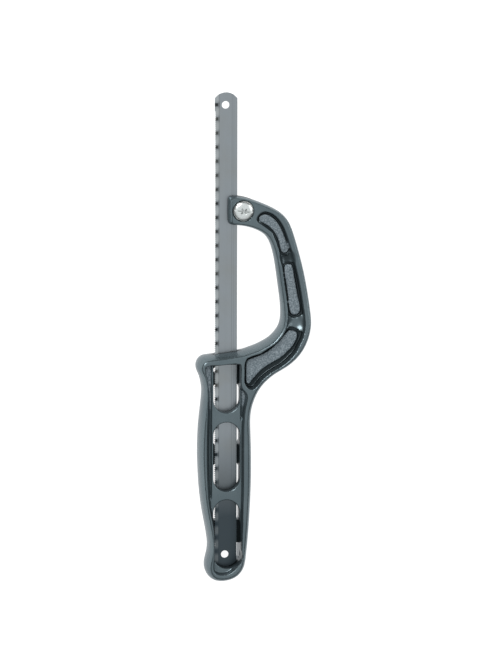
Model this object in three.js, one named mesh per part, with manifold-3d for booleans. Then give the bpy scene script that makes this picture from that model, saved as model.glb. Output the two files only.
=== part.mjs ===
// A mini hacksaw: a one-piece cast frame that is handle and bow at once, a standard 250 mm blade,
// and the screw and nut that pinch the frame's slotted tip onto the blade.
//
// Millimetres. The saw lies on its back: +Z is up through its thickness, +Y runs along the blade
// away from the handle, and the bow bulges towards +X. The shapes are drawn with the blade's
// handle-end pin hole at X = Y = 0 and the blade's middle plane at Z = 0. The last lines move the
// group so that the origin is at the bottom centre of the whole saw.

import * as THREE from "three";
import { mergeVertices } from "three/addons/utils/BufferGeometryUtils.js";
import Module from "manifold-3d";

const wasm = await Module();
wasm.setup();

// ---- Driving dimensions ----

const blade = {
  holePitch: 250, // between the two pin holes
  endOverhang: 6.9, // from a pin hole's centre to the blade's end
  endRadius: 7.6,
  toothTip: -5.9, // X of the tooth points
  back: 6.5, // X of the back edge
  thickness: 0.65,
  holeRadius: 2.1,
  toothPitch: 25.4 / 24,
  toothDepth: 0.75,
  plainEnd: 3.5, // without teeth, inwards from each pin hole
};

const body = {
  halfThickness: 10.5, // of the handle
  middleRatio: 0.6, // thickness of the bow's middle over the handle's
  tipRatio: 0.51, // and of the tip
  handleRoll: 2.9, // how far the outer wall rolls in on its way to the rim's top
  bowRoll: 1.7,
  tipRoll: 1.1,
  rollRings: 5,
};

// Heights are from the middle plane, before the bow is thinned.
const pocket = {
  floor: 5.2, // of the handle's side recesses
  trackTop: 6.4, // of the raised track that the windows are in
  trackLeft: -8.3,
  trackRight: 8,
  bowFloor: 3.5,
  padTop: 5.7,
  padRoll: 0.25,
  padGroove: 1.2, // between a pad's round end and the saddle next to it
  saddleTop: 6.4,
  outerRim: 4.5, // width of the bow's rims
  innerRim: 3.4,
  edgeFlare: 0.5, // how far the rim's inner edge is rounded off, on the bow
  handleFlare: 0.75,
  palmFlare: 2.1, // and along the palm
};

// The saddles join the bow's two rims between its raised pads. Turns are in degrees.
const saddles = [
  { x: 33.9, y: 165.3, width: 6.2, turn: 14 },
  { x: 38.4, y: 129.2, width: 9.2, turn: 0 },
];

const meshSpan = 7; // longest edge before the bow is thinned, so that its flat faces follow the taper

const slot = { left: -6.75, right: 7.4, bottom: -7.9, handleHalf: 0.7, tipHalf: 0.5, tipRelief: 14 };

// The handle's windows: left and right sides, then bottom, top and whether each end is round.
const frontSides = [-7.3, 7.35];
const backSides = [-7.3, 8.6];
const frontWindows = [
  [80.4, 107.2, true, false],
  [36.5, 75.1, true, true],
];
const backWindows = [
  [58.4, 98.3, true, true],
  [19.2, 53.8, false, true],
];
const backFoot = { sides: [-6.6, 8.2], bottom: -3.6, top: 6.2 };

// The front window round the handle-end pin hole narrows downwards to a round foot.
const footWindow = { top: 31.7, shoulder: 21, left: -6.8, right: 8, waist: 10, centre: [0.7, 1.1], radius: 8 };

const screw = {
  x: 9.2,
  y: 192.1,
  headRadius: 5.45,
  headHeight: 2.5,
  shankRadius: 2.4,
  seatRadius: 5.95,
  seatDepth: 0.6,
  end: -7.6,
  clearance: 0.25,
  slotWidth: 1.2,
  slotDepth: 0.9,
};

const nut = { acrossFlats: 8, height: 4, pocketDepth: 3.1, gap: 0.2, chamfer: 0.5 };

const sightHole = { x: -4.5, y: 103.2, radius: 1.9 };

const tipRidge = { left: 1.9, right: 3, bottom: 186, top: 198.4, height: 0.5 };

// ---- Outlines, as points that a smooth curve runs through ----

const tipCorner = [
  [1.2, 197.6], [1.5, 199], [2.8, 199.9],
];

const bowOuter = [
  [6.3, 199.9], [10.7, 199.1], [14.4, 197.9], [23.3, 194.3], [29.8, 190.7], [33.3, 187.4],
  [35.5, 184], [37.9, 177.5], [40.9, 167.1], [43.4, 157], [45.3, 147], [46.8, 136.9], [47.4, 131],
  [47.3, 126.6], [45.9, 120.4], [42.9, 114], [38.8, 108.9], [33.5, 104.7], [27.4, 101.2],
];

const handleRight = [
  [23.2, 98], [20, 94.7], [17.7, 91.3], [16.1, 87.9], [14.9, 84.5], [14.1, 81], [13.65, 76],
  [13.75, 71], [14.1, 61], [14.2, 50], [14.1, 40], [13.6, 27.6], [12.8, 14.3], [11.6, 1],
  [10.7, -5.2],
];

const handleEnd = [
  [9.2, -8.7], [6.6, -11.6], [3.4, -13.4], [0.2, -14.2], [-3, -14.4], [-6.4, -13.8], [-9.3, -11.8],
  [-11, -8.6], [-11.4, -5.3],
];

const handleLeft = [
  [-10.8, -1.9], [-9.9, 2], [-9.6, 6], [-10, 10], [-10.9, 15.5], [-12.1, 21.8], [-13.3, 29],
  [-14.5, 40], [-15.2, 54], [-15.2, 62], [-14.7, 73], [-13.8, 81.6], [-13.1, 88], [-12.9, 92],
  [-13.3, 96], [-14.4, 100.4], [-15.7, 103.4], [-16.2, 105.6], [-15.7, 108], [-14.5, 110],
  [-12.8, 111.3], [-10.6, 111.9],
];

const bowInner = [
  [9.4, 114.3], [13.2, 115.5], [17.7, 117.1], [21, 118.7], [24.5, 120.8], [27.5, 123.7],
  [29.7, 127.1], [30.7, 131], [30.8, 136], [30.3, 142], [29.3, 149.1], [28.3, 156.5],
  [27.1, 164.2], [25.6, 170.5], [24.1, 174.6], [21.6, 178.2], [17.2, 181], [11.4, 183],
];

const tipFoot = [
  [6.9, 183.7], [3, 184.2], [1.6, 185.1], [1.2, 186.6],
];

const handlePocket = [
  [-11.5, 106.4], [-10.8, 100], [-9.9, 94], [-9.3, 88], [-9.3, 79], [-9.5, 66], [-9.5, 54],
  [-9.3, 44], [-8.9, 36], [-8.3, 28], [-7.4, 20], [-6.7, 13], [-6.5, 6], [-6.6, 0], [-7, -4.6],
  [-6.6, -7.6], [-4.6, -8.8], [-1.8, -9.1], [1.8, -8], [4.9, -5.2], [6.7, -1.6], [7.4, 4],
  [7.7, 12], [7.9, 22], [8.2, 36], [8.3, 52], [8.3, 68], [8.6, 78], [9.3, 84], [10.3, 88.6],
  [9.9, 91.3], [7.6, 94], [6.8, 97], [6.7, 102], [6.7, 107.3], [1, 107.4], [-5, 106.9],
];

const bowPocketStart = [
  [39.9, 118.3], [37.6, 113.9], [33.7, 109.6], [29.1, 106.1], [23.6, 103.1], [18.5, 98.9],
  [15.8, 95.5], [13.7, 94.2], [11.4, 95], [9.8, 97.8], [9.8, 102], [9.9, 107.6], [11.2, 110.8],
  [18.4, 113.1],
];

const bowPocketEnd = [
  [25.5, 180], [23.5, 181.7], [21.3, 183.4], [19.1, 185], [17.5, 186.1], [17, 187.2], [17.6, 188.9],
  [18.8, 190.2], [20.1, 190.9], [21.6, 191.1], [23.6, 190.5], [25.8, 189.4], [27.9, 187.5],
  [29.5, 185.4],
];

const wedgePad = [
  [11.9, 109.9], [10.7, 108], [10.5, 103], [10.5, 99], [11, 96.7], [12, 95.9], [13.1, 96.7],
  [14.9, 98.8], [19.6, 103.8], [24, 106.8], [30.2, 110.2], [34.8, 114.2], [38.1, 118.2],
  [39.6, 122.2], [38.9, 124.7], [36, 125.7], [33.5, 124.7], [30.9, 121.7], [25.9, 116.6],
  [21.3, 113.5], [16.7, 111.5],
];

const middlePad = [
  [34.7, 162.1], [33, 161.6], [32.1, 160], [32.2, 157], [33.3, 150.1], [34.2, 143.4], [34.8, 137.2],
  [36, 134.2], [37.8, 133.3], [39.8, 133.9], [41.2, 136], [41.2, 138.4], [40.1, 143.8], [39, 149.4],
  [38, 155], [37.3, 159.4], [36.3, 161.5],
];

const endPad = [
  [18, 187], [18.3, 188.3], [19.4, 189.4], [21.3, 189.9], [24.2, 189.1], [27.5, 186.4],
  [30.2, 182.7], [32, 178.7], [33.5, 174.5], [34.8, 171], [34.5, 169.3], [32.6, 168], [30.8, 168.5],
  [29.9, 170.5], [29.1, 174.4], [27.6, 178], [25.6, 180.8], [22.8, 183.4], [19.6, 185.2],
  [18.4, 185.9],
];

// ---- Helpers: curves ----

const toVectors = (points) => points.map(([x, y]) => new THREE.Vector2(x, y));

/** Points on a smooth closed curve through the given ones, with `steps` sides to each span. */
function smoothLoop(points, steps) {
  const controls = points.map(([x, y]) => new THREE.Vector3(x, y, 0));
  const curve = new THREE.CatmullRomCurve3(controls, true, "centripetal");
  const loop = [];
  for (let i = 0; i < points.length * steps; i += 1) {
    const p = curve.getPoint(i / (points.length * steps));
    loop.push(new THREE.Vector2(p.x, p.y));
  }
  return THREE.ShapeUtils.isClockWise(loop) ? loop.reverse() : loop;
}

/** The outward direction at each corner of a counter-clockwise loop, longer at sharp corners. */
function outwardDirections(loop) {
  return loop.map((here, i) => {
    const before = loop[(i + loop.length - 1) % loop.length];
    const after = loop[(i + 1) % loop.length];
    const a = here.clone().sub(before).normalize();
    const b = after.clone().sub(here).normalize();
    const out = new THREE.Vector2(a.y + b.y, -a.x - b.x).normalize();
    const lean = Math.max(out.dot(new THREE.Vector2(a.y, -a.x)), 0.75);
    return out.multiplyScalar(1 / lean);
  });
}

/** A closed loop moved outwards all round. */
function widened(loop, distance) {
  const outward = outwardDirections(loop);
  return loop.map((p, i) => p.clone().addScaledVector(outward[i], distance));
}

/** An open run of points moved sideways, to the right of its direction of travel. */
function moveRight(points, distance) {
  const run = toVectors(points);
  return run.map((here, i) => {
    const before = run[Math.max(i - 1, 0)];
    const after = run[Math.min(i + 1, run.length - 1)];
    const way = after.clone().sub(before).normalize();
    return [here.x + way.y * distance, here.y - way.x * distance];
  });
}

/** A vertical slot shape with a round end where one is asked for. */
function slotLoop(left, right, bottom, top, roundBottom, roundTop) {
  const shape = new THREE.Shape();
  const radius = (right - left) / 2;
  const middle = (left + right) / 2;
  shape.moveTo(left, top - (roundTop ? radius : 0));
  shape.lineTo(left, bottom + (roundBottom ? radius : 0));
  if (roundBottom) shape.absarc(middle, bottom + radius, radius, Math.PI, 2 * Math.PI, false);
  else shape.lineTo(right, bottom);
  shape.lineTo(right, top - (roundTop ? radius : 0));
  if (roundTop) shape.absarc(middle, top - radius, radius, 0, Math.PI, false);
  else shape.lineTo(left, top);
  return shape;
}

// ---- Helpers: solids ----

/** A three.js geometry as a manifold solid. */
function solid(geometry) {
  const bare = geometry.index ? geometry.clone() : geometry;
  bare.deleteAttribute("normal");
  bare.deleteAttribute("uv");
  const merged = mergeVertices(bare, 1e-4);
  return new wasm.Manifold(
    new wasm.Mesh({
      numProp: 3,
      vertProperties: new Float32Array(merged.attributes.position.array),
      triVerts: new Uint32Array(merged.index.array),
    })
  );
}

/** A manifold solid as a three.js geometry. */
function geometryOf(manifold) {
  const mesh = manifold.getMesh();
  const geometry = new THREE.BufferGeometry();
  geometry.setAttribute("position", new THREE.BufferAttribute(mesh.vertProperties, mesh.numProp));
  geometry.setIndex(new THREE.BufferAttribute(mesh.triVerts, 1));
  geometry.computeVertexNormals();
  return geometry;
}

/**
 * A solid over a loop, from -halfHeight to +halfHeight, whose wall follows a half ellipse: it is
 * the loop itself at mid height, and smaller by rollAt(point) at both faces. A negative roll
 * makes the wall flare out, as the tool for a pocket with rounded edges does.
 */
function rolledPrism(loop, halfHeight, rings, rollAt) {
  const outward = outwardDirections(loop);
  const positions = [];
  for (let ring = -rings; ring <= rings; ring += 1) {
    const angle = (ring / rings) * (Math.PI / 2);
    loop.forEach((p, i) => {
      const move = -rollAt(p) * (1 - Math.cos(angle));
      const { x, y } = outward[i];
      positions.push(p.x + x * move, p.y + y * move, halfHeight * Math.sin(angle));
    });
  }
  const count = loop.length;
  const triangles = [];
  for (let ring = 0; ring < 2 * rings; ring += 1) {
    for (let i = 0; i < count; i += 1) {
      const a = ring * count + i;
      const b = ring * count + ((i + 1) % count);
      triangles.push(a, b, b + count, a, b + count, a + count);
    }
  }
  const top = 2 * rings * count;
  const face = Array.from(loop, (_, i) => {
    const at = 3 * (top + i);
    return new THREE.Vector2(positions[at], positions[at + 1]);
  });
  for (const [a, b, c] of THREE.ShapeUtils.triangulateShape(face, [])) {
    triangles.push(top + a, top + b, top + c, c, b, a);
  }
  const geometry = new THREE.BufferGeometry();
  geometry.setAttribute("position", new THREE.Float32BufferAttribute(positions, 3));
  geometry.setIndex(triangles);
  return geometry;
}

/** A straight solid over a shape between two heights. */
function prism(shape, bottom, top, curveSegments = 10) {
  const settings = { depth: top - bottom, bevelEnabled: false, curveSegments };
  return new THREE.ExtrudeGeometry(shape, settings).translate(0, 0, bottom);
}

function box(x0, x1, y0, y1, z0, z1) {
  const geometry = new THREE.BoxGeometry(x1 - x0, y1 - y0, z1 - z0);
  return solid(geometry.translate((x0 + x1) / 2, (y0 + y1) / 2, (z0 + z1) / 2));
}

/** A cylinder along Z, or a hexagonal prism when it has six sides. */
function post(x, y, radius, z0, z1, sides = 32) {
  const geometry = new THREE.CylinderGeometry(radius, radius, z1 - z0, sides);
  return solid(geometry.rotateX(Math.PI / 2).translate(x, y, (z0 + z1) / 2));
}

// ---- Frame ----

/** Thickness of the casting at a place along the saw, over the handle's thickness. */
function thicknessAt(y) {
  const toMiddle = THREE.MathUtils.smoothstep(y, 100, 150);
  const toTip = THREE.MathUtils.smoothstep(y, 150, 185);
  const middle = THREE.MathUtils.lerp(1, body.middleRatio, toMiddle);
  return middle + (body.tipRatio - body.middleRatio) * toTip;
}

function bodyRoll({ y }) {
  const onBow = THREE.MathUtils.smoothstep(y, 95, 140);
  const onTip = THREE.MathUtils.smoothstep(y, 175, 192);
  const roll = THREE.MathUtils.lerp(body.handleRoll, body.bowRoll, onBow);
  return THREE.MathUtils.lerp(roll, body.tipRoll, onTip);
}

/** How far the rim's inner edge is rounded: most along the palm side of the handle. */
function handleFlare({ x, y }) {
  const palm = THREE.MathUtils.smoothstep(y, 14, 34) * (1 - THREE.MathUtils.smoothstep(y, 84, 100));
  const share = x < 0 ? palm : 0;
  return -THREE.MathUtils.lerp(pocket.handleFlare, pocket.palmFlare, share);
}

const bowFlare = () => -pocket.edgeFlare;

/** What is milled out of a face: a flared prism without the slab that stays as the web. */
function pocketTool(loop, floor, flareAt) {
  const flared = solid(rolledPrism(loop, body.halfThickness + 0.02, 3, flareAt));
  return flared.subtract(box(-60, 60, -60, 240, -floor, floor));
}

function handlePocketTool() {
  const tool = pocketTool(smoothLoop(handlePocket, 2), pocket.floor, handleFlare);
  return tool.subtract(
    box(pocket.trackLeft, pocket.trackRight, -12, 110, -pocket.trackTop, pocket.trackTop)
  );
}

function bowPocketTool() {
  const outerWall = moveRight(bowOuter.slice(6, 15), pocket.outerRim);
  const innerWall = moveRight(bowInner.slice(3, 15), pocket.innerRim);
  const loop = smoothLoop([...outerWall, ...bowPocketStart, ...innerWall, ...bowPocketEnd], 2);
  const pads = [wedgePad, middlePad, endPad].map((pad) => smoothLoop(pad, 2));
  const raised = pads.map((pad) => solid(rolledPrism(pad, pocket.padTop, 2, () => pocket.padRoll)));
  const grooves = pads.map((pad) => {
    const shape = new THREE.Shape(widened(pad, pocket.padGroove));
    return solid(prism(shape, -body.halfThickness, body.halfThickness));
  });
  const bars = saddles.map(({ x, y, width, turn }) => {
    const bar = new THREE.BoxGeometry(16, width, 2 * pocket.saddleTop);
    return solid(bar.rotateZ(THREE.MathUtils.degToRad(turn)).translate(x, y, 0));
  });
  const kept = wasm.Manifold.union(bars).subtract(wasm.Manifold.union(grooves));
  return pocketTool(loop, pocket.bowFloor, bowFlare).subtract(kept.add(wasm.Manifold.union(raised)));
}

/** Thins the casting along the bow by scaling its heights. */
function thinned(manifold) {
  const geometry = geometryOf(manifold);
  const position = geometry.attributes.position;
  for (let i = 0; i < position.count; i += 1) {
    position.setZ(i, position.getZ(i) * thicknessAt(position.getY(i)));
  }
  return solid(geometry);
}

/** The windows of the handle. Front and back ones are staggered, so that the bridges are too. */
function handleWindows() {
  const reach = 12;
  const front = frontWindows.map((ends) => slotLoop(...frontSides, ...ends));
  const back = backWindows.map((ends) => slotLoop(...backSides, ...ends));
  const { top, shoulder, left, right, waist, centre, radius } = footWindow;
  const head = slotLoop(...frontSides, shoulder - 1, top, false, true).getPoints(8).slice(2);
  const foot = new THREE.Path().absarc(...centre, radius, Math.PI * 1.12, Math.PI * 1.95);
  front.push(
    new THREE.Shape([
      ...head,
      new THREE.Vector2(frontSides[0], shoulder),
      new THREE.Vector2(left, waist),
      ...foot.getPoints(14),
      new THREE.Vector2(right, centre[1] + 3),
      new THREE.Vector2(right, shoulder - 3),
    ])
  );
  back.push(slotLoop(...backFoot.sides, backFoot.bottom, backFoot.top, false, false));
  const cuts = [
    ...front.map((shape) => solid(prism(shape, 0, reach))),
    ...back.map((shape) => solid(prism(shape, -reach, 0))),
  ];
  cuts.push(post(sightHole.x, sightHole.y, sightHole.radius, -reach, 0, 20));
  return wasm.Manifold.union(cuts);
}

/** The slit that the blade lies in, from inside the handle out through its top wall. */
function bladeSlots(tipFace) {
  const { left, right, bottom, handleHalf, tipHalf, tipRelief } = slot;
  const inHandle = box(left, right, bottom, 130, -handleHalf, handleHalf);
  const inTip = box(-5, tipRelief, 180, 205, -tipHalf, tipHalf);
  const hole = post(screw.x, screw.y, screw.shankRadius + screw.clearance, -15, 15);
  const seat = post(screw.x, screw.y, screw.seatRadius, tipFace - screw.seatDepth, 15, 40);
  const hexRadius = (nut.acrossFlats / 2 + nut.gap) / Math.cos(Math.PI / 6);
  const nutSeat = post(screw.x, screw.y, hexRadius, -15, -tipFace + nut.pocketDepth, 6);
  return wasm.Manifold.union([inHandle, inTip, hole, seat, nutSeat]);
}

const tipFace = body.halfThickness * body.tipRatio;

function frameGeometry() {
  const outline = smoothLoop(
    [...tipCorner, ...bowOuter, ...handleRight, ...handleEnd, ...handleLeft, ...bowInner, ...tipFoot],
    2
  );
  const blank = solid(rolledPrism(outline, body.halfThickness, body.rollRings, bodyRoll));
  const pocketed = blank.subtract(handlePocketTool()).subtract(bowPocketTool());
  const { left, right, bottom, top, height } = tipRidge;
  const ridge = box(left, right, bottom, top, tipFace - 1, tipFace + height);
  const cuts = handleWindows().add(bladeSlots(tipFace));
  return geometryOf(thinned(pocketed.refineToLength(meshSpan)).add(ridge).subtract(cuts));
}

// ---- Blade ----

function bladeShape() {
  const { holePitch, endOverhang, endRadius, toothTip, back, toothPitch, toothDepth } = blade;
  const middle = (toothTip + back) / 2;
  const halfWidth = (back - toothTip) / 2;
  const sagitta = endRadius - Math.sqrt(endRadius ** 2 - halfWidth ** 2);
  const corner = endOverhang - sagitta;
  const sweep = Math.asin(halfWidth / endRadius);
  const shape = new THREE.Shape();
  const footCentre = endRadius - endOverhang;
  shape.absarc(middle, footCentre, endRadius, -Math.PI / 2 - sweep, -Math.PI / 2 + sweep, false);
  shape.lineTo(back, holePitch + corner);
  const headCentre = holePitch - footCentre;
  shape.absarc(middle, headCentre, endRadius, Math.PI / 2 - sweep, Math.PI / 2 + sweep, false);
  const length = holePitch - 2 * blade.plainEnd;
  const teeth = Math.floor(length / toothPitch);
  for (let i = 0; i < teeth; i += 1) {
    const tip = holePitch - blade.plainEnd - i * toothPitch;
    shape.lineTo(toothTip, tip);
    shape.lineTo(toothTip + toothDepth, tip - 0.12 * toothPitch);
    if (i === teeth - 1) shape.lineTo(toothTip, tip - toothPitch);
  }
  for (const y of [0, holePitch]) {
    shape.holes.push(new THREE.Path().absarc(0, y, blade.holeRadius, 0, 2 * Math.PI, true));
  }
  return shape;
}

const bladeGeometry = () => prism(bladeShape(), -blade.thickness / 2, blade.thickness / 2, 12);

// ---- Clamping screw and nut ----

function screwGeometry() {
  const under = tipFace - screw.seatDepth + 0.02;
  const top = under + screw.headHeight;
  const { headRadius, shankRadius, end, slotWidth, slotDepth } = screw;
  const profile = toVectors([
    [0, end],
    [shankRadius - 0.5, end],
    [shankRadius, end + 0.5],
    [shankRadius, under],
    [headRadius - 0.1, under],
    [headRadius, under + 0.2],
    [headRadius - 0.05, under + 1.1],
    [headRadius - 0.6, under + 1.7],
    [headRadius * 0.6, top - 0.2],
    [0, top],
  ]);
  const turned = solid(new THREE.LatheGeometry(profile, 40).rotateX(Math.PI / 2));
  const bar = (w, l) => box(-l, l, -w / 2, w / 2, top - slotDepth, top + 1);
  const recess = bar(slotWidth, 7).add(bar(slotWidth, 2).rotate([0, 0, 90]));
  return geometryOf(turned.subtract(recess));
}

function nutGeometry() {
  const { acrossFlats, height, chamfer } = nut;
  const hexRadius = acrossFlats / 2 / Math.cos(Math.PI / 6);
  const hex = post(0, 0, hexRadius, 0, height, 6);
  const round = new THREE.LatheGeometry(
    toVectors([
      [0, 0],
      [hexRadius - chamfer, 0],
      [hexRadius + 0.1, chamfer],
      [hexRadius + 0.1, height],
      [0, height],
    ]),
    36
  );
  const turned = hex.intersect(solid(round.rotateX(Math.PI / 2)));
  return geometryOf(turned.subtract(post(0, 0, screw.shankRadius + 0.2, -1, height + 1)));
}

// ---- Assembly ----

function part(name, geometry, color, roughness, metalness) {
  const mesh = new THREE.Mesh(
    geometry,
    new THREE.MeshStandardMaterial({ color, roughness, metalness })
  );
  mesh.name = name;
  return mesh;
}

const saw = new THREE.Group();
saw.add(part("frame", frameGeometry(), 0x4a5359, 0.45, 0.3));
saw.add(part("blade", bladeGeometry(), 0x83898e, 0.35, 0.9));

const clampScrew = part("clamp_screw", screwGeometry(), 0xc9cdcb, 0.3, 0.95);
clampScrew.position.set(screw.x, screw.y, 0);
clampScrew.rotation.z = THREE.MathUtils.degToRad(-7);
saw.add(clampScrew);

const clampNut = part("clamp_nut", nutGeometry(), 0xb9bdbb, 0.35, 0.95);
clampNut.position.set(screw.x, screw.y, -tipFace + nut.pocketDepth - nut.gap - nut.height);
saw.add(clampNut);

const extent = new THREE.Box3().setFromObject(saw);
const centre = extent.getCenter(new THREE.Vector3());
saw.position.set(-centre.x, -centre.y, -extent.min.z);

export default saw;
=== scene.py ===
# %% [markdown]
# # A mini hacksaw
#
# The saw has four separate things in it. One die casting is the handle and the bow. A long steel
# blade lies in a slot of that casting. A zinc-plated screw at the bow's tip pinches the blade, and
# a nut on the other side takes the screw's pull. The CAD model gives their places and sizes, and
# this script gives them their finished surfaces: rounded cast edges, ground teeth, a thread, and
# paint, steel and zinc to look at.

# %% Load the CAD frame
import math

import bmesh
import bpy
from mathutils import Matrix, Vector


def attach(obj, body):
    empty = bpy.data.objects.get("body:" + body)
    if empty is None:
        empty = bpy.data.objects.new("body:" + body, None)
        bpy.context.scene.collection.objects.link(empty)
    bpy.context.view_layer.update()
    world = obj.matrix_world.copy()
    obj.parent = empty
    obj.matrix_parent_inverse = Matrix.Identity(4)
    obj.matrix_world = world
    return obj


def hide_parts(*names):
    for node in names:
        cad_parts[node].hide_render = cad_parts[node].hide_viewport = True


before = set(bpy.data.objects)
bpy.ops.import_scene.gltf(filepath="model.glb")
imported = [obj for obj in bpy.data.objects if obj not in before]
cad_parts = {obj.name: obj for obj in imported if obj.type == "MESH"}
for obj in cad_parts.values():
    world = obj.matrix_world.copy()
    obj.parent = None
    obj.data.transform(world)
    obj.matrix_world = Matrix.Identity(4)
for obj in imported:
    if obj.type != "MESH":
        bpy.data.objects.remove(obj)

MM = 0.001
scene = bpy.context.scene
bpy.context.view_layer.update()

# %% [markdown]
# ## The camera
#
# The saw lies on its back, so the camera looks down on its front face. It stands a little to the
# left and a little towards the blade's free end, which is why the left side of each rim shows. A
# camera that is far away and has a long lens keeps the parallel edges of the blade parallel.

# %% Place the camera
LOOK_AT = Vector((1.13, -2.66, -7.89)) * MM
FROM_THE_LEFT = math.radians(9)
FROM_ABOVE = math.radians(10)
LEAN = math.radians(-0.158)
LENS, SENSOR = 300, 36
SIGHT_HEIGHT = 371 * MM
NEAREST, FARTHEST = 0.05, 50

turned = Matrix.Rotation(-FROM_THE_LEFT, 3, "Y") @ Matrix.Rotation(-FROM_ABOVE, 3, "X")
turned = turned @ Matrix.Rotation(-LEAN, 3, "Z")
distance = SIGHT_HEIGHT * LENS / SENSOR
camera_data = bpy.data.cameras.new("camera")
camera_data.lens = LENS
camera_data.sensor_width = SENSOR
camera_data.clip_start = NEAREST
camera_data.clip_end = FARTHEST
camera = bpy.data.objects.new("camera", camera_data)
scene.collection.objects.link(camera)
stand = LOOK_AT + turned @ Vector((0, 0, distance))
camera.matrix_world = Matrix.Translation(stand) @ turned.to_4x4()
scene.camera = camera
print("camera looks along", [round(x, 4) for x in turned @ Vector((0, 0, -1))])

# %% [markdown]
# ## Floor and light
#
# The floor is plain and nearly white, and it gives off light, as a lit table for small products
# does, so the saw's own shade hardly greys it. The side walls of a glossy casting mirror the floor next
# to them, which draws the light bands along its edges. The sky is bright overhead and dark near
# the horizon, so a rolled edge shows a dark line between the floor's mirror image and the sky's.
# One softbox stands at the upper left for the crowns of the rims, and a weaker one at the right.

# %% Lay the floor
FLOOR_SIZE = 12.0
FLOOR_COLOUR = (0.3, 0.3, 0.3)
FLOOR_ROUGHNESS = 0.8
FLOOR_GLOW = 0.95

bpy.ops.object.select_all(action="DESELECT")
bpy.ops.mesh.primitive_plane_add(size=FLOOR_SIZE, location=(0, 0, 0))
floor = bpy.context.object
floor.name = "floor"
floor_white = bpy.data.materials.new("pale floor")
floor_white.use_nodes = True
floor_shader = floor_white.node_tree.nodes["Principled BSDF"]
floor_shader.inputs["Base Color"].default_value = (*FLOOR_COLOUR, 1)
floor_shader.inputs["Roughness"].default_value = FLOOR_ROUGHNESS
floor_shader.inputs["Emission Color"].default_value = (1, 1, 1, 1)
floor_shader.inputs["Emission Strength"].default_value = FLOOR_GLOW
floor.data.materials.append(floor_white)
print("floor:", floor.name, "with", [m.name for m in floor.data.materials])

# %% Hang the sky and the softboxes
SKY_COLOUR = (0.95, 0.98, 1.0)
SKY_HORIZON, SKY_OVERHEAD = 0.35, 0.95
SKY_DIM, SKY_BRIGHT = 0.06, 0.8
KEY_PLACE, KEY_SIZE, KEY_POWER = (-0.6, 0.85, 1.1), 0.55, 12
FILL_PLACE, FILL_SIZE, FILL_POWER = (1.1, 0.3, 0.9), 0.7, 3


def softbox(name, place, size, power):
    """A square area light that points at the saw and can't be seen itself."""
    light = bpy.data.lights.new(name, "AREA")
    light.size = size
    light.energy = power
    lamp = bpy.data.objects.new(name, light)
    scene.collection.objects.link(lamp)
    lamp.location = place
    lamp.rotation_euler = (LOOK_AT - Vector(place)).to_track_quat("-Z", "Y").to_euler()
    lamp.visible_camera = False


world = bpy.data.worlds.new("studio")
world.use_nodes = True
sky = world.node_tree
direction = sky.nodes.new("ShaderNodeSeparateXYZ")
sky.links.new(sky.nodes.new("ShaderNodeTexCoord").outputs["Generated"], direction.inputs[0])
glow = sky.nodes.new("ShaderNodeMapRange")
glow.interpolation_type = "SMOOTHSTEP"
glow.inputs["From Min"].default_value = SKY_HORIZON
glow.inputs["From Max"].default_value = SKY_OVERHEAD
glow.inputs["To Min"].default_value = SKY_DIM
glow.inputs["To Max"].default_value = SKY_BRIGHT
sky.links.new(direction.outputs["Z"], glow.inputs["Value"])
sky.links.new(glow.outputs[0], sky.nodes["Background"].inputs["Strength"])
sky.nodes["Background"].inputs["Color"].default_value = (*SKY_COLOUR, 1)
scene.world = world
scene.view_settings.view_transform = "Standard"

softbox("key", KEY_PLACE, KEY_SIZE, KEY_POWER)
softbox("fill", FILL_PLACE, FILL_SIZE, FILL_POWER)

# %% [markdown]
# ## Helpers for modelling
#
# An operator works on whatever is selected, so each step starts from nothing selected. These few
# helpers pick one object, pick faces by their place, add a modifier and apply it at once.


# %% Define the modelling helpers
def only(obj):
    """Select this object alone and make it active."""
    bpy.ops.object.select_all(action="DESELECT")
    obj.select_set(True)
    bpy.context.view_layer.objects.active = obj


def start_edit(obj, kind="FACE"):
    """Go into edit mode with nothing selected."""
    only(obj)
    bpy.ops.object.mode_set(mode="EDIT")
    bpy.ops.mesh.select_mode(type=kind)
    bpy.ops.mesh.select_all(action="DESELECT")


def end_edit():
    bpy.ops.object.mode_set(mode="OBJECT")


def pick_faces(obj, test):
    """In edit mode, also select the faces whose centre and normal pass the test."""
    mesh = bmesh.from_edit_mesh(obj.data)
    for face in mesh.faces:
        if test(face.calc_center_median(), face.normal):
            face.select_set(True)
    bmesh.update_edit_mesh(obj.data)


def apply_modifier(obj, kind, **settings):
    """Add one modifier with these settings and apply it."""
    only(obj)
    modifier = obj.modifiers.new(kind.title(), kind)
    for name, value in settings.items():
        setattr(modifier, name, value)
    bpy.ops.object.modifier_apply(modifier=modifier.name)


def cut(obj, tool, operation="DIFFERENCE"):
    """Boolean one object with another, which is used up."""
    apply_modifier(obj, "BOOLEAN", operation=operation, object=tool, solver="EXACT")
    bpy.data.objects.remove(tool)


def copy_of(node, name):
    """A merged copy of a CAD node, with a mesh of its own."""
    obj = bpy.data.objects.new(name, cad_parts[node].data.copy())
    scene.collection.objects.link(obj)
    start_edit(obj)
    bpy.ops.mesh.select_all(action="SELECT")
    bpy.ops.mesh.remove_doubles(threshold=0.002 * MM)
    end_edit()
    return obj


def settle(obj, angle=30):
    """Put the object's place into its mesh, and shade it smooth up to an angle."""
    only(obj)
    bpy.ops.object.transform_apply(location=True, rotation=True, scale=True)
    bpy.ops.object.shade_smooth_by_angle(angle=math.radians(angle))
    obj.data.materials.clear()
    print(obj.name, "has", len(obj.data.polygons), "faces")


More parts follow.
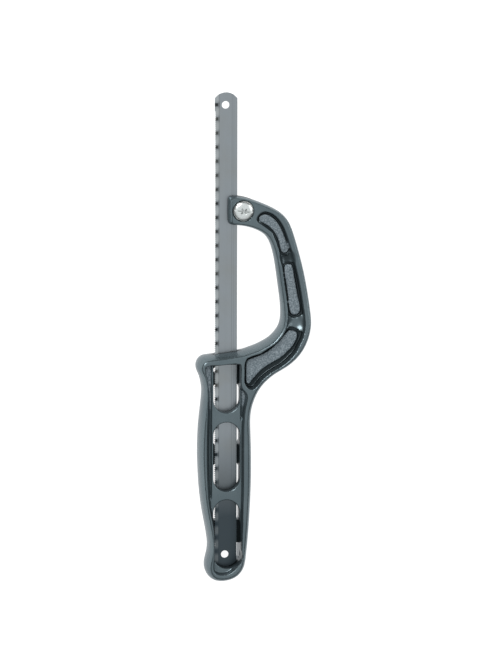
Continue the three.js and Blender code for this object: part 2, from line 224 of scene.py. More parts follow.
# %% [markdown]
# ## The casting
#
# Molten metal doesn't fill a sharp corner, so every edge of a die casting is a small curve. The
# CAD solid has flat facets and sharp lips. A copy of it is rebuilt as an even net of small squares
# with the Remesh modifier, and the Smooth modifier then rounds what is sharp. Smoothing it hard
# all over would melt the pads and lips, so a vertex group holds the strong pass back near them:
# it is full on the outer barrel and falls to nothing at the first recess. The two bridges between
# the pads of the bow are saddles, hollowed by sinking their middles and smoothing them hard.

# %% Split the CAD copy into its outer skin and its features
MIDDLE = 10.5 * MM
SKIN_ANGLE = 40

casting = copy_of("frame", "casting")
start_edit(casting)
lowest = min(face.center.y for face in casting.data.polygons)
pick_faces(casting, lambda centre, normal: centre.y < lowest + 0.01 * MM)
bpy.ops.mesh.faces_select_linked_flat(sharpness=math.radians(SKIN_ANGLE))
bpy.ops.mesh.select_all(action="INVERT")
bpy.ops.mesh.duplicate()
bpy.ops.mesh.separate(type="SELECTED")
end_edit()
features = next(o for o in bpy.context.selected_objects if o is not casting)
features.name = "features"
print("outer skin and features:", len(casting.data.polygons), len(features.data.polygons))


# %% Mark where the casting is textured
BOW_START, BOW_MIDDLE, BOW_TIP = -21.25, 28.75, 63.75
BOW_THINNING, TIP_THINNING = 0.4, 0.09
PAD_START = -36
PAD_LOW, PAD_HIGH = 4.6, 6.15


def thickness_share(y):
    """How thick the casting is at a place along the saw, over the handle's thickness."""

    def ease(start, end):
        t = min(max((y / MM - start) / (end - start), 0), 1)
        return t * t * (3 - 2 * t)

    bow = BOW_THINNING * ease(BOW_START, BOW_MIDDLE)
    tip = TIP_THINNING * ease(BOW_MIDDLE, BOW_TIP)
    return 1 - bow - tip


def level(place):
    """A height over the middle plane, in millimetres, as if the casting were equally thick."""
    return abs(place.z - MIDDLE) / MM / thickness_share(place.y)


def is_pad(centre, normal):
    """The tops of the raised pads on the bow, and the floor of the small recess beside them."""
    flat = abs(normal.z) > 0.9
    return flat and centre.y > PAD_START * MM and PAD_LOW < level(centre) < PAD_HIGH


start_edit(casting)
pick_faces(casting, is_pad)
bpy.ops.mesh.duplicate()
bpy.ops.mesh.separate(type="SELECTED")
end_edit()
pads = next(o for o in bpy.context.selected_objects if o is not casting)
pads.name = "pads"
print("textured faces:", len(pads.data.polygons))


# %% Define where the smoothing is strong
SADDLES = [(18.3, 44.0), (22.8, 8.0)]
SADDLE_REACH = 5.5
SADDLE_DEPTH = 1.5
SADDLE_STEEPNESS = 1.3
SADDLE_CLEAR = 3


def fade_group(obj, group, target, near, far):
    """A vertex group that is 0 within `near` of the target's faces and 1 beyond `far`."""
    made = obj.vertex_groups.new(name=group)
    made.add(range(len(obj.data.vertices)), 1.0, "REPLACE")
    apply_modifier(
        obj,
        "VERTEX_WEIGHT_PROXIMITY",
        vertex_group=group,
        target=target,
        proximity_mode="GEOMETRY",
        proximity_geometry={"FACE"},
        min_dist=near,
        max_dist=far,
    )


def saddle_weight(place):
    """1 in the middle of a saddle's top, falling to 0 at its edge."""
    if abs(place.z - MIDDLE) < SADDLE_CLEAR * MM:
        return 0
    reach = [math.hypot(place.x / MM - x, place.y / MM - y) / SADDLE_REACH for x, y in SADDLES]
    return min(1, max(0, SADDLE_STEEPNESS * (1 - min(reach))))


print("saddles, mm:", SADDLES)

# %% Rebuild the casting as an even net and round it
NET_SIZE = 0.36

apply_modifier(casting, "REMESH", mode="VOXEL", voxel_size=NET_SIZE * MM)
apply_modifier(casting, "SMOOTH", factor=0.5, iterations=2)
fade_group(casting, "open", features, 0.3 * MM, 2.2 * MM)
apply_modifier(casting, "SMOOTH", factor=0.5, iterations=8, vertex_group="open")
print("even net:", len(casting.data.polygons), "faces")

# %% Sink the saddles and smooth them hard
hollows = casting.vertex_groups.new(name="hollows")
for vertex in casting.data.vertices:
    share = saddle_weight(vertex.co)
    hollows.add([vertex.index], share, "REPLACE")
    if share > 0:
        above = vertex.co.z - MIDDLE
        sink = min(abs(above), SADDLE_DEPTH * MM * share * share * (3 - 2 * share))
        vertex.co.z -= math.copysign(sink, above)
apply_modifier(casting, "SMOOTH", factor=0.5, iterations=60, vertex_group="hollows")
fade_group(casting, "off pads", pads, 0.3 * MM, 0.7 * MM)
print("vertex groups:", [group.name for group in casting.vertex_groups])

# %% Keep the net under its limit and store its two masks
MOST_TRIANGLES = 190000
GROOVE_FLOOR, GROOVE_TOP = 3.9, 6.2


def weights(obj, name):
    """A vertex group's weight at every vertex, and 0 where a vertex isn't in the group."""
    index = obj.vertex_groups[name].index
    return [next((g.weight for g in v.groups if g.group == index), 0.0) for v in obj.data.vertices]


def sunkenness(place):
    """1 down in the grooves and windows, 0 at the height of the pads and above."""
    return min(1, max(0, (GROOVE_TOP - level(place)) / (GROOVE_TOP - GROOVE_FLOOR)))


def store(obj, name, values):
    """Keep one number per vertex as an attribute that a material can read."""
    obj.data.attributes.new(name, "FLOAT", "POINT").data.foreach_set("value", values)


triangles = sum(len(face.vertices) - 2 for face in casting.data.polygons)
if triangles > MOST_TRIANGLES:
    apply_modifier(casting, "DECIMATE", ratio=MOST_TRIANGLES / triangles)
off_pads, open_skin = weights(casting, "off pads"), weights(casting, "open")
store(casting, "textured", [1 - weight for weight in off_pads])
places = [vertex.co for vertex in casting.data.vertices]
# Painted shade: this mask darkens the paint down in the grooves and windows, but not on the open skin,
# the pads or the saddles.
groove_shade = [
    sunkenness(place) * (1 - skin) * pad * (1 - min(1, 2 * saddle_weight(place)))
    for place, skin, pad in zip(places, open_skin, off_pads)
]
store(casting, "groove_shade", groove_shade)
casting.vertex_groups.clear()
for helper in (features, pads):
    bpy.data.objects.remove(helper)
settle(casting, 180)

# %% [markdown]
# ## The blade
#
# A hacksaw blade is a strip with a row of fine teeth, and the toothed edge is pressed into a
# wave, so that the cut is wider than the strip. That wave is too shallow to see as a shape. It is
# modelled, and the light and dark spots it gives along the edge are also painted into the steel
# as highlight and shade. The blade starts as a flat grid: its first column becomes teeth, its
# ends are moved onto arcs, and the columns near the teeth are waved.
# Solidify then gives it its thickness, and a boolean cuts the two pin holes.

# %% Set the blade's sizes
PIN_LOW = Vector((-15.623, -121.25, 10.5)) * MM
PIN_PITCH = 250
TOOTH_PITCH = 25.4 / 24
TOOTH_STEPS = 4
TOOTH_DEPTH = 0.75
TOOTH_SET_BACK = (0, 1, 0.68, 0.34)
TOOTH_PLACES = (0, 0.14, 0.4, 0.7)
PLAIN_END = 3.5
END_STEPS = 8
END_RADIUS, END_OVERHANG = 7.6, 6.9
TOOTH_TIP, BACK = -5.9, 6.5
WAVE_LENGTH, WAVE_HEIGHT, WAVE_WIDTH = 7.76, 0.2, 2.3
WAVE_RUN_OUT = 2
COLUMNS = [TOOTH_TIP, -5.15, -4.7, -4.3, -3.95, -3.6, -2.6, -0.9, 0.9, 2.6, 4.4, BACK]
BLADE_THICKNESS = 0.65

teeth = int((PIN_PITCH - 2 * PLAIN_END) / TOOTH_PITCH)
rows = teeth * TOOTH_STEPS + 2 * END_STEPS
print("teeth:", teeth)


# %% Work out the place of each grid corner
def tooth_profile(step):
    """How far the edge is set back at a step of one tooth: a steep front and a long back."""
    return TOOTH_DEPTH * TOOTH_SET_BACK[step]


def end_reach(x):
    """How far past the pin hole the round end reaches at this X."""
    middle = (TOOTH_TIP + BACK) / 2
    return END_OVERHANG - END_RADIUS + math.sqrt(END_RADIUS**2 - (x - middle) ** 2)


def blade_point(column, row):
    """The place of one grid corner, in millimetres from the lower pin hole."""
    x = COLUMNS[column]
    first = PIN_PITCH - PLAIN_END
    toothed = row - END_STEPS
    if toothed < 0:
        y = first + (PIN_PITCH + end_reach(x) - first) * (-toothed / END_STEPS)
    elif toothed > teeth * TOOTH_STEPS:
        last = first - teeth * TOOTH_PITCH
        y = last - (last + end_reach(x)) * ((toothed - teeth * TOOTH_STEPS) / END_STEPS)
    else:
        tooth, step = divmod(toothed, TOOTH_STEPS)
        y = first - TOOTH_PITCH * (tooth + TOOTH_PLACES[step])
        if column == 0 and toothed < teeth * TOOTH_STEPS:
            x += tooth_profile(step)
    bend = max(0.0, 1 - (x - TOOTH_TIP) / WAVE_WIDTH)
    to_end = min(y, PIN_PITCH - y)
    fade = min(1.0, max(0.0, (to_end + WAVE_RUN_OUT) / (2 * WAVE_RUN_OUT)))
    return x, y, WAVE_HEIGHT * bend * fade * math.sin(2 * math.pi * y / WAVE_LENGTH)


# %% Shape the blade as a flat grid
bpy.ops.object.select_all(action="DESELECT")
bpy.ops.mesh.primitive_grid_add(x_subdivisions=len(COLUMNS) - 1, y_subdivisions=rows, size=2)
blade = bpy.context.object
blade.name = "toothed_blade"
for vertex in blade.data.vertices:
    column = round((vertex.co.x + 1) / 2 * (len(COLUMNS) - 1))
    row = round((1 - vertex.co.y) / 2 * rows)
    vertex.co = PIN_LOW + Vector(blade_point(column, row)) * MM
print("blade grid:", len(COLUMNS), "columns,", rows + 1, "rows")

# %% Thicken the blade and cut its pin holes
HOLE_RADIUS = 2.1

apply_modifier(blade, "SOLIDIFY", thickness=BLADE_THICKNESS * MM, offset=0)
for along in (0, PIN_PITCH):
    bpy.ops.object.select_all(action="DESELECT")
    bpy.ops.mesh.primitive_cylinder_add(
        vertices=48,
        radius=HOLE_RADIUS * MM,
        depth=4 * MM,
        location=PIN_LOW + Vector((0, along, 0)) * MM,
    )
    cut(blade, bpy.context.object)
start_edit(blade)
bpy.ops.mesh.select_all(action="SELECT")
bpy.ops.mesh.normals_make_consistent(inside=False)
end_edit()
settle(blade, 35)

# %% [markdown]
# ## The screw
#
# The screw has a low domed head with a slot and a small cross in it, and a machine thread. The
# head starts as a cylinder whose top face is inset and raised a few times, which is how a dome is
# made by hand. The cross and the slot are cut with boolean tools. The thread is a small ridge
# profile that the Screw modifier winds round the shank.

# %% Model the screw's head
SCREW = Vector((-6.423, 70.85, 10.5)) * MM
HEAD_UNDER = 4.775
HEAD_RADIUS, HEAD_HEIGHT = 5.45, 2.5
SLOT_TURN = math.radians(-7)
DOME = [(0.12, 0.18), (0.35, 0.3), (0.65, 0.32), (0.95, 0.24), (1.2, 0.12), (1.2, 0.04)]


def new_cylinder(name, radius, low, high, vertices):
    """A cylinder on the screw's axis, between two heights over the saw's middle plane."""
    bpy.ops.object.select_all(action="DESELECT")
    bpy.ops.mesh.primitive_cylinder_add(
        vertices=vertices,
        radius=radius * MM,
        depth=(high - low) * MM,
        location=SCREW + Vector((0, 0, (low + high) / 2)) * MM,
    )
    made = bpy.context.object
    made.name = name
    return made


rim_top = HEAD_UNDER + HEAD_HEIGHT - sum(rise for _, rise in DOME)
screw = new_cylinder("screw", HEAD_RADIUS, HEAD_UNDER, rim_top, 96)
start_edit(screw)
pick_faces(screw, lambda centre, normal: normal.z > 0.9)
for width, rise in DOME:
    bpy.ops.mesh.inset(thickness=width * MM, depth=0)
    bpy.ops.transform.translate(value=(0, 0, rise * MM))
end_edit()
print("screw head:", len(screw.data.polygons), "faces")

# %% Cut the slot and the cross
SLOT_LENGTH, SLOT_DEPTH, SLOT_WIDTH = 14, 0.9, 0.9
CROSS_REACH, CROSS_WIDTH, CROSS_DEPTH = 2.1, 0.9, 1.7
CUT_DRAFT = 0.85


def cutter(length, width, depth, turn):
    """A bar across the screw's head, narrowed towards its bottom."""
    top = HEAD_UNDER + HEAD_HEIGHT
    bpy.ops.object.select_all(action="DESELECT")
    bpy.ops.mesh.primitive_cube_add(
        size=1, location=SCREW + Vector((0, 0, top + 0.5 - depth / 2)) * MM
    )
    bar = bpy.context.object
    bar.scale = (length * MM, width * MM, (depth + 1) * MM)
    bar.rotation_euler.z = SLOT_TURN + turn
    only(bar)
    bpy.ops.object.transform_apply(location=False, rotation=True, scale=True)
    start_edit(bar)
    pick_faces(bar, lambda centre, normal: normal.z < -0.9)
    bpy.ops.transform.resize(value=(CUT_DRAFT, CUT_DRAFT, 1))
    end_edit()
    return bar


cut(screw, cutter(SLOT_LENGTH, SLOT_WIDTH, SLOT_DEPTH, 0))
for turn in (math.radians(45), math.radians(135)):
    cut(screw, cutter(2 * CROSS_REACH, CROSS_WIDTH, CROSS_DEPTH, turn))
apply_modifier(screw, "BEVEL", width=0.09 * MM, segments=2, limit_method="ANGLE", angle_limit=0.6)

# %% Wind the thread and join it to the head
THREAD_PITCH = 0.8
THREAD_LOW, THREAD_TOP = -7.2, 4.0
CORE_RADIUS, THREAD_RADIUS = 2.05, 2.42
SHANK_END, SHANK_CHAMFER = -7.6, 0.4
OVERLAP = 0.4
RIDGE_ROOT = CORE_RADIUS - 0.25
RIDGE = [(RIDGE_ROOT, 0), (THREAD_RADIUS, 0.33), (THREAD_RADIUS, 0.43), (RIDGE_ROOT, 0.76)]

core = new_cylinder("core", CORE_RADIUS, SHANK_END, HEAD_UNDER + OVERLAP, 48)
start_edit(core)
pick_faces(core, lambda centre, normal: normal.z < -0.9)
bpy.ops.mesh.bevel(offset=SHANK_CHAMFER * MM, segments=2, affect="EDGES")
end_edit()
ridge_mesh = bpy.data.meshes.new("ridge")
corners = [(x * MM, 0, z * MM) for x, z in RIDGE]
ridge_mesh.from_pydata(corners, [(0, 1), (1, 2), (2, 3), (3, 0)], [])
ridge = bpy.data.objects.new("ridge", ridge_mesh)
scene.collection.objects.link(ridge)
ridge.location = SCREW + Vector((0, 0, THREAD_LOW)) * MM
turns = int((THREAD_TOP - THREAD_LOW) / THREAD_PITCH)
apply_modifier(
    ridge,
    "SCREW",
    angle=2 * math.pi,
    screw_offset=THREAD_PITCH * MM,
    iterations=turns,
    steps=32,
    render_steps=32,
    use_smooth_shade=False,
)
start_edit(ridge, "EDGE")
bpy.ops.mesh.select_non_manifold(extend=False)
bpy.ops.mesh.fill()
bpy.ops.mesh.select_all(action="SELECT")
bpy.ops.mesh.normals_make_consistent(inside=False)
end_edit()
only(ridge)
bpy.ops.object.transform_apply(location=True, rotation=True, scale=True)
cut(core, ridge, "UNION")
cut(screw, core, "UNION")
settle(screw, 32)

# %% [markdown]
# ## The nut
#
# A pressed nut is a hexagon whose corners are turned off at both faces. The hexagon is a six-sided
# cylinder, and the turned corners come from keeping only what also lies inside a round, bevelled
# blank. A last boolean opens its bore, with a small countersink at each face.

# %% Model the nut
NUT_ACROSS, NUT_LOW, NUT_HIGH = 8.0, -6.455, -2.455
NUT_CORNER = NUT_ACROSS / 2 / math.cos(math.pi / 6)
NUT_TURNED = 0.45
BORE_RADIUS, MOUTH_RADIUS, MOUTH_DEPTH = 2.6, 3.1, 0.5
CONE_TIP, CLEAR = 2.5, 0.01


def countersink(outer, inner):
    """A cone that is wide just past the nut's face and narrow at a height inside the nut."""
    low, high = min(outer, inner), max(outer, inner)
    wide_below = outer < inner
    bpy.ops.object.select_all(action="DESELECT")
    bpy.ops.mesh.primitive_cone_add(
        vertices=48,
        radius1=(MOUTH_RADIUS if wide_below else CONE_TIP) * MM,
        radius2=(CONE_TIP if wide_below else MOUTH_RADIUS) * MM,
        depth=(high - low) * MM,
        location=SCREW + Vector((0, 0, (low + high) / 2)) * MM,
    )
    return bpy.context.object


nut = new_cylinder("nut", NUT_CORNER, NUT_LOW, NUT_HIGH, 6)
blank = new_cylinder("blank", NUT_CORNER + 0.02, NUT_LOW, NUT_HIGH, 72)
apply_modifier(
    blank, "BEVEL", width=NUT_TURNED * MM, segments=3, limit_method="ANGLE", angle_limit=1.0
)
cut(nut, blank, "INTERSECT")
cut(nut, new_cylinder("bore", BORE_RADIUS, NUT_LOW - 1, NUT_HIGH + 1, 48))
cut(nut, countersink(NUT_LOW - CLEAR, NUT_LOW + MOUTH_DEPTH))
cut(nut, countersink(NUT_HIGH + CLEAR, NUT_HIGH - MOUTH_DEPTH))
settle(nut, 32)

# %% [markdown]
# ## Shader groups
#
# Several finishes share the same effects, so each effect is one node group with its own inputs.
# Fine grit gives a height and a tone. Edge wear finds the outer edges by how pointed the surface
# is and breaks them up with noise; the same group finds the hollow creases by their low pointiness
# and gives a mask of painted shade for them. Handling gives slow, cloudy changes, as skin oil and
# dust do.


# %% Define how a group is made
def new_group(name, inputs, outputs):
    """An empty shader node group with float inputs and outputs."""
    group = bpy.data.node_groups.new(name, "ShaderNodeTree")
    for label, value in inputs.items():
        socket = group.interface.new_socket(
            name=label, in_out="INPUT", socket_type="NodeSocketFloat"
        )
        socket.default_value = value
    for label in outputs:
        group.interface.new_socket(name=label, in_out="OUTPUT", socket_type="NodeSocketFloat")
    return group, group.nodes.new("NodeGroupInput"), group.nodes.new("NodeGroupOutput")


def add(tree, kind, inputs=None, **settings):
    """A node with its settings. An input is a value or another node's output."""
    node = tree.nodes.new(kind)
    for name, value in settings.items():
        setattr(node, name, value)
    for name, value in (inputs or {}).items():
        if isinstance(value, bpy.types.NodeSocket):
            tree.links.new(value, node.inputs[name])
        else:
            node.inputs[name].default_value = value
    return node


def maths(tree, operation, a, b=0.5, c=0.5, clamp=False):
    """A Math node's result."""
    node = add(tree, "ShaderNodeMath", {0: a, 1: b, 2: c}, operation=operation, use_clamp=clamp)
    return node.outputs[0]


def spread(tree, value, low, high, to_low=0.0, to_high=1.0):
    """A Map Range node's result, clamped."""
    inputs = {"Value": value, "From Min": low, "From Max": high, "To Min": to_low, "To Max": to_high}
    return add(tree, "ShaderNodeMapRange", inputs).outputs[0]


def blend_colour(tree, share, a, b):
    """A Mix node's colour."""
    node = tree.nodes.new("ShaderNodeMix")
    node.data_type = "RGBA"
    for socket, value in ((node.inputs[0], share), (node.inputs[6], a), (node.inputs[7], b)):
        if isinstance(value, bpy.types.NodeSocket):
            tree.links.new(value, socket)
        elif isinstance(value, tuple):
            socket.default_value = (*value, 1)
        else:
            socket.default_value = value
    return node.outputs[2]


def noise(tree, place, scale, detail, roughness=0.5):
    """A Noise Texture's value."""
    inputs = {"Vector": place, "Scale": scale, "Detail": detail, "Roughness": roughness}
    return add(tree, "ShaderNodeTexNoise", inputs).outputs["Fac"]


def stretched(tree, place, scale):
    """Places squeezed by a scale along each axis, so that a pattern on them is drawn out."""
    return add(tree, "ShaderNodeMapping", {"Vector": place, "Scale": scale}).outputs[0]


# %% Build the grit group
grit, grit_in, grit_out = new_group(
    "fine grit", {"Scale": 2000, "Sharpness": 0.5}, ["Height", "Tone"]
)
place = add(grit, "ShaderNodeTexCoord").outputs["Object"]
fine = noise(grit, place, grit_in.outputs["Scale"], 3.0, 0.6)
cells = add(grit, "ShaderNodeTexVoronoi", {"Vector": place, "Scale": grit_in.outputs["Scale"]})
bumps = maths(grit, "SUBTRACT", 1.0, cells.outputs["Distance"], clamp=True)
mixed = add(grit, "ShaderNodeMix", {0: grit_in.outputs["Sharpness"], 2: fine, 3: bumps})
grit.links.new(mixed.outputs[0], grit_out.inputs["Height"])
grit.links.new(spread(grit, fine, 0.42, 0.62), grit_out.inputs["Tone"])
print("group:", grit.name)

# %% Build the edge wear and crease shade group
wear_and_crease_shade, wear_in, wear_and_crease_shade_out = new_group("edge wear and crease shade", {"Amount": 0.5, "Breakup": 900}, ["Mask", "Crease shade"])
place = add(wear_and_crease_shade, "ShaderNodeTexCoord").outputs["Object"]
pointed = add(wear_and_crease_shade, "ShaderNodeNewGeometry").outputs["Pointiness"]
edges = spread(wear_and_crease_shade, pointed, 0.53, 0.62)
rough = noise(wear_and_crease_shade, place, wear_in.outputs["Breakup"], 4.0)
broken = maths(wear_and_crease_shade, "MULTIPLY", edges, spread(wear_and_crease_shade, rough, 0.4, 0.62))
wear_and_crease_shade.links.new(maths(wear_and_crease_shade, "MULTIPLY", broken, wear_in.outputs["Amount"]), wear_and_crease_shade_out.inputs["Mask"])
# Low pointiness marks the hollow creases, and this output is a mask of painted shade for them.
wear_and_crease_shade.links.new(spread(wear_and_crease_shade, pointed, 0.48, 0.42), wear_and_crease_shade_out.inputs["Crease shade"])
print("group:", wear_and_crease_shade.name)

# %% Build the handling group
handling, handling_in, handling_out = new_group("handling", {"Scale": 60}, ["Cloud", "Smear"])
place = add(handling, "ShaderNodeTexCoord").outputs["Object"]
cloud = noise(handling, place, handling_in.outputs["Scale"], 5.0)
smear = noise(handling, stretched(handling, place, (6.0, 1.0, 6.0)), handling_in.outputs["Scale"], 6.0)
handling.links.new(spread(handling, cloud, 0.3, 0.7), handling_out.inputs["Cloud"])
handling.links.new(spread(handling, smear, 0.35, 0.65), handling_out.inputs["Smear"])
print("group:", handling.name)


# %% Define how a material is started
def new_material(name):
    """A material with an empty Principled shader, its tree and its shader node."""
    material = bpy.data.materials.new(name)
    material.use_nodes = True
    return material, material.node_tree, material.node_tree.nodes["Principled BSDF"]


def effect(tree, group, **values):
    """One of the shared groups, with its inputs set."""
    node = tree.nodes.new("ShaderNodeGroup")
    node.node_tree = group
    for name, value in values.items():
        node.inputs[name].default_value = value
    return node.outputs


def from_screw_axis(tree, place):
    """How far a point lies from the screw's axis, seen along Z."""
    flat = add(tree, "ShaderNodeVectorMath", {0: place, 1: (1, 1, 0)}, operation="MULTIPLY")
    axis = (SCREW.x, SCREW.y, 0)
    inputs = {0: flat.outputs[0], 1: axis}
    return add(tree, "ShaderNodeVectorMath", inputs, operation="DISTANCE").outputs["Value"]


def relief(tree, shader, height, distance):
    """Make a height into a bump of this many metres on the shader's normal."""
    bump = add(tree, "ShaderNodeBump", {"Height": height, "Strength": 1.0, "Distance": distance})
    tree.links.new(bump.outputs[0], shader.inputs["Normal"])


# %% [markdown]
# ## Paint
#
# The casting is painted a dark blue-grey with a half gloss. The paint holds fine metal flakes, so
# it mirrors the studio more than a plain paint does, and it pools into a faint orange peel on the
# smooth parts. The raised pads and the small recess beside them were cast with a gritty face, so
# the paint there is matter, lighter and speckled. Where the casting has edges the paint is thin,
# and it shows a little paler. Down in the grooves and windows, and in a ring round the screw's
# head, the colour is darkened as painted shade and a painted contact shadow.

# %% Mix the paint's colours
PAINT = (0.15, 0.19, 0.205)
PAINT_DEEP = (0.115, 0.15, 0.165)
PAINT_TEXTURED = (0.14, 0.175, 0.195)
PAINT_SPECK = (0.33, 0.38, 0.41)
PAINT_THIN = (0.27, 0.32, 0.335)
PAINT_SHADE = (0.03, 0.04, 0.044)
HEAD_SHADOW_INNER, HEAD_SHADOW_OUTER, HEAD_SHADOW_DARKNESS = 5.5, 6.2, 0.85

paint, tree, shader = new_material("frame paint")
mask = add(tree, "ShaderNodeAttribute", attribute_name="textured").outputs["Fac"]
coarse = effect(tree, grit, Scale=1500, Sharpness=0.35)
worn_and_shaded = effect(tree, wear_and_crease_shade, Amount=0.3, Breakup=700)
hand = effect(tree, handling, Scale=45)
smooth_colour = blend_colour(tree, hand["Cloud"], PAINT, PAINT_DEEP)
smooth_colour = blend_colour(tree, worn_and_shaded["Mask"], smooth_colour, PAINT_THIN)
# Painted shade: the stored depth mask darkens the colour down in the grooves and windows.
shade_by_depth = add(tree, "ShaderNodeAttribute", attribute_name="groove_shade").outputs["Fac"]
smooth_colour = blend_colour(tree, shade_by_depth, smooth_colour, PAINT_SHADE)
# Painted shadow: a ring just round the screw's head is darkened, as the head's contact shadow.
from_screw = from_screw_axis(tree, add(tree, "ShaderNodeTexCoord").outputs["Object"])
head_shadow = spread(tree, from_screw, HEAD_SHADOW_OUTER * MM, HEAD_SHADOW_INNER * MM, 0, HEAD_SHADOW_DARKNESS)
smooth_colour = blend_colour(tree, head_shadow, smooth_colour, PAINT_SHADE)
rough_colour = blend_colour(tree, coarse["Tone"], PAINT_TEXTURED, PAINT_SPECK)
tree.links.new(blend_colour(tree, mask, smooth_colour, rough_colour), shader.inputs["Base Color"])
print("paint colours:", len(tree.nodes), "nodes")

# %% Give the paint its gloss and its grit
PAINT_FLAKE = 0.7
PAINT_GLANCING = (0.62, 0.64, 0.66)
PAINT_SPECULAR = 0.35
PAINT_COAT, COAT_ROUGHNESS = 0.06, 0.15
SMOOTH_LOW, SMOOTH_HIGH, GRIT_ROUGHER = 0.25, 0.32, 0.22
PEEL_SHARE = 0.12
GRIT_DEPTH = 0.2

gloss = spread(tree, hand["Smear"], 0, 1, SMOOTH_LOW, SMOOTH_HIGH)
tree.links.new(maths(tree, "MULTIPLY_ADD", mask, GRIT_ROUGHER, gloss), shader.inputs["Roughness"])
peel = effect(tree, grit, Scale=650, Sharpness=0.0)
peel_height = maths(tree, "MULTIPLY", peel["Height"], PEEL_SHARE)
height = maths(tree, "ADD", peel_height, maths(tree, "MULTIPLY", coarse["Height"], mask))
relief(tree, shader, height, GRIT_DEPTH * MM)
shader.inputs["Metallic"].default_value = PAINT_FLAKE
shader.inputs["Specular Tint"].default_value = (*PAINT_GLANCING, 1)
shader.inputs["Specular IOR Level"].default_value = PAINT_SPECULAR
shader.inputs["Coat Weight"].default_value = PAINT_COAT
shader.inputs["Coat Roughness"].default_value = COAT_ROUGHNESS
casting.data.materials.append(paint)
print("paint made:", len(tree.nodes), "nodes")

# %% [markdown]
# ## Blade steel
#
# The blade is bluish hardened steel, rolled and ground along its length. Its colour is darkened
# towards the handle as painted shade, so it is lighter towards its free end. In the strip next to
# the teeth, once in each wave, the edge turns towards the light and then away from it: this is
# painted as a highlight, and then as a dark spot and a dark dash beside it. Two fine lines run
# along the rest of the blade, and a third along its back edge.

# %% Draw the steel's grain
STEEL = (0.33, 0.36, 0.38)
STEEL_DARK_AND_SHADE = (0.045, 0.062, 0.073)
STEEL_PALE_AND_HIGHLIGHT = (0.52, 0.55, 0.555)
GRAIN_SCALE = (5200.0, 55.0, 5200.0)
STREAK_SCALE = (700.0, 6.0, 700.0)

steel, tree, shader = new_material("blade steel")
place = add(tree, "ShaderNodeTexCoord").outputs["Object"]
axes = add(tree, "ShaderNodeSeparateXYZ", {"Vector": place}).outputs
grain = noise(tree, stretched(tree, place, GRAIN_SCALE), 1.0, 4.0)
streaks = noise(tree, stretched(tree, place, STREAK_SCALE), 1.0, 3.0)
colour = blend_colour(tree, spread(tree, grain, 0.35, 0.7, 0, 0.07), STEEL, STEEL_PALE_AND_HIGHLIGHT)
colour = blend_colour(tree, spread(tree, streaks, 0.45, 0.7, 0, 0.03), colour, STEEL_DARK_AND_SHADE)
print("steel grain:", len(tree.nodes), "nodes")

# %% Paint the wave highlights and the wave shade beside the teeth
STEEL_WAVE_SHADE = (0.02, 0.025, 0.028)
BAND_EDGE = -3.6
FIRST_SPOT = 1.84

across = maths(tree, "MULTIPLY_ADD", axes["X"], 1 / MM, -PIN_LOW.x / MM)
along = maths(tree, "MULTIPLY_ADD", axes["Y"], 1 / MM, -PIN_LOW.y / MM - FIRST_SPOT)
away = maths(tree, "PINGPONG", along, WAVE_LENGTH / 2)
in_band = spread(tree, across, BAND_EDGE + 0.1, BAND_EDGE - 0.1)
# Painted highlight: in the strip by the teeth, each wave is lightened where its edge turns towards the
# light.
wave_highlight = maths(tree, "MULTIPLY", in_band, spread(tree, away, 0.9, 2.6, 0, 0.6))
colour = blend_colour(tree, wave_highlight, colour, STEEL_PALE_AND_HIGHLIGHT)
# Painted shade: once in each wave, a dark dash on the strip's inner edge and a dark spot by the teeth,
# where the edge turns away from the light.
from_edge = maths(tree, "ABSOLUTE", maths(tree, "ADD", across, -BAND_EDGE))
on_edge = spread(tree, from_edge, 0.35, 0.1)
dash = maths(tree, "MULTIPLY", on_edge, spread(tree, away, 2.2, 0.8, 0.25, 0.8))
by_teeth = spread(tree, across, BAND_EDGE - 0.2, TOOTH_TIP + 1.6)
spot = maths(tree, "MULTIPLY", by_teeth, spread(tree, away, 1.25, 0.6))
colour = blend_colour(tree, maths(tree, "MAXIMUM", dash, spot), colour, STEEL_WAVE_SHADE)
print("steel waves:", len(tree.nodes), "nodes")

# %% Add the lengthwise lines, the stains and the painted shade towards the handle, and finish the steel
STEEL_TINT = (0.3, 0.3, 0.27)
LINES = ((3.6, 0.18, 0.35), (4.6, 0.14, 0.3), (BACK, 0.22, 0.7))
SHADE_START, SHADE_FULL = -50, -100
GRAIN_DEPTH = 0.004

for x, half, depth in LINES:
    line = maths(tree, "ABSOLUTE", maths(tree, "ADD", across, -x))
    colour = blend_colour(tree, spread(tree, line, half, half / 3, 0, depth), colour, STEEL_DARK_AND_SHADE)
hand = effect(tree, handling, Scale=70)
colour = blend_colour(tree, spread(tree, hand["Cloud"], 0.3, 1, 0, 0.3), colour, STEEL_TINT)
# Painted shade: the steel is darkened towards the handle, a little less in the wave highlights.
handle_shade = spread(tree, axes["Y"], SHADE_START * MM, SHADE_FULL * MM)
shade_kept = maths(tree, "MULTIPLY_ADD", wave_highlight, -0.35, 0.93)
colour = blend_colour(tree, maths(tree, "MULTIPLY", handle_shade, shade_kept), colour, STEEL_DARK_AND_SHADE)
tree.links.new(colour, shader.inputs["Base Color"])
tree.links.new(spread(tree, grain, 0.3, 0.7, 0.3, 0.36), shader.inputs["Roughness"])
shader.inputs["Metallic"].default_value = 1.0
relief(tree, shader, grain, GRAIN_DEPTH * MM)
blade.data.materials.append(steel)
print("steel made:", len(tree.nodes), "nodes")
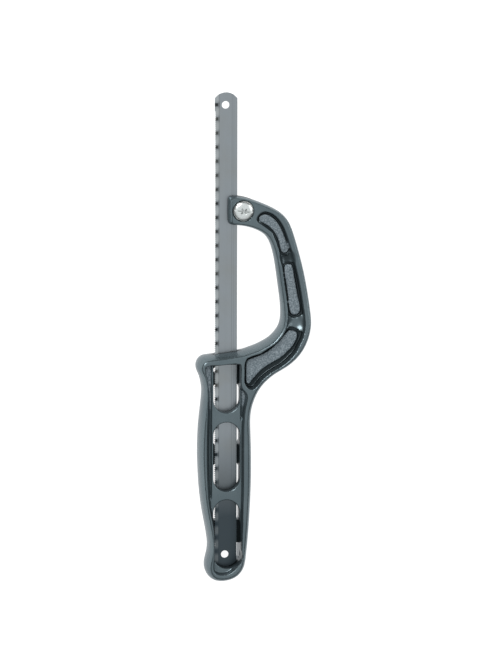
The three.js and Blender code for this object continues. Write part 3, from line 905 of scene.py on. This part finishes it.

# %% [markdown]
# ## Zinc plate
#
# Bright zinc is a thin silvery plate with a slightly cloudy shine. It dulls in patches, and its
# edges are rubbed brighter by the screwdriver. The slot and the cross are darkened below the dome,
# and the hollow creases too, as painted shade.

# %% Make the zinc plate
ZINC = (0.84, 0.87, 0.85)
ZINC_DULL = (0.76, 0.79, 0.77)
ZINC_BRIGHT = (0.95, 0.96, 0.95)
ZINC_SHADE = (0.09, 0.1, 0.1)
SLOT_SHADE_TOP, SLOT_SHADE_FULL, SLOT_SHADE_SHARE = 0.4, 0.6, 0.45
SLOT_SHADE_INNER, SLOT_SHADE_OUTER = 3.1, 3.6
PLATE_DEPTH = 0.006

zinc, tree, shader = new_material("zinc plate")
clouds = effect(tree, handling, Scale=420)
specks = effect(tree, grit, Scale=3500, Sharpness=0.2)
worn_and_shaded = effect(tree, wear_and_crease_shade, Amount=0.8, Breakup=1500)
colour = blend_colour(tree, clouds["Cloud"], ZINC, ZINC_DULL)
colour = blend_colour(tree, worn_and_shaded["Mask"], colour, ZINC_BRIGHT)
place = add(tree, "ShaderNodeTexCoord").outputs["Object"]
height = add(tree, "ShaderNodeSeparateXYZ", {"Vector": place}).outputs["Z"]
# Painted shade: the slot and the cross are darkened below the dome, inside their reach from the axis.
head_top = SCREW.z + (HEAD_UNDER + HEAD_HEIGHT) * MM
shade_by_depth = spread(tree, height, head_top - SLOT_SHADE_TOP * MM, head_top - SLOT_SHADE_FULL * MM, 0, SLOT_SHADE_SHARE)
inside = spread(tree, from_screw_axis(tree, place), SLOT_SHADE_OUTER * MM, SLOT_SHADE_INNER * MM)
colour = blend_colour(tree, maths(tree, "MULTIPLY", shade_by_depth, inside), colour, ZINC_SHADE)
# Painted shade in the hollow creases, from the edge group's crease mask.
colour = blend_colour(tree, worn_and_shaded["Crease shade"], colour, ZINC_SHADE)
tree.links.new(colour, shader.inputs["Base Color"])
tree.links.new(spread(tree, specks["Tone"], 0, 1, 0.2, 0.32), shader.inputs["Roughness"])
shader.inputs["Metallic"].default_value = 1.0
relief(tree, shader, specks["Height"], PLATE_DEPTH * MM)
for piece in (screw, nut):
    piece.data.materials.append(zinc)
print("zinc made:", len(tree.nodes), "nodes")

# %% [markdown]
# ## Fasten the pieces to the CAD bodies
#
# Each piece stands for one CAD node and rides on that node's body, so it follows the joints: the
# blade slides, the screw turns, and the nut travels along the screw.

# %% Ride and replace
for piece, node, body, slot in (
    (casting, "frame", "saw_frame", "frame_paint"),
    (blade, "blade", "saw_blade", "blade_steel"),
    (screw, "clamp_screw", "screw", "zinc_plate"),
    (nut, "clamp_nut", "nut", "zinc_plate"),
):
    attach(piece, body)
    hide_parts(node)
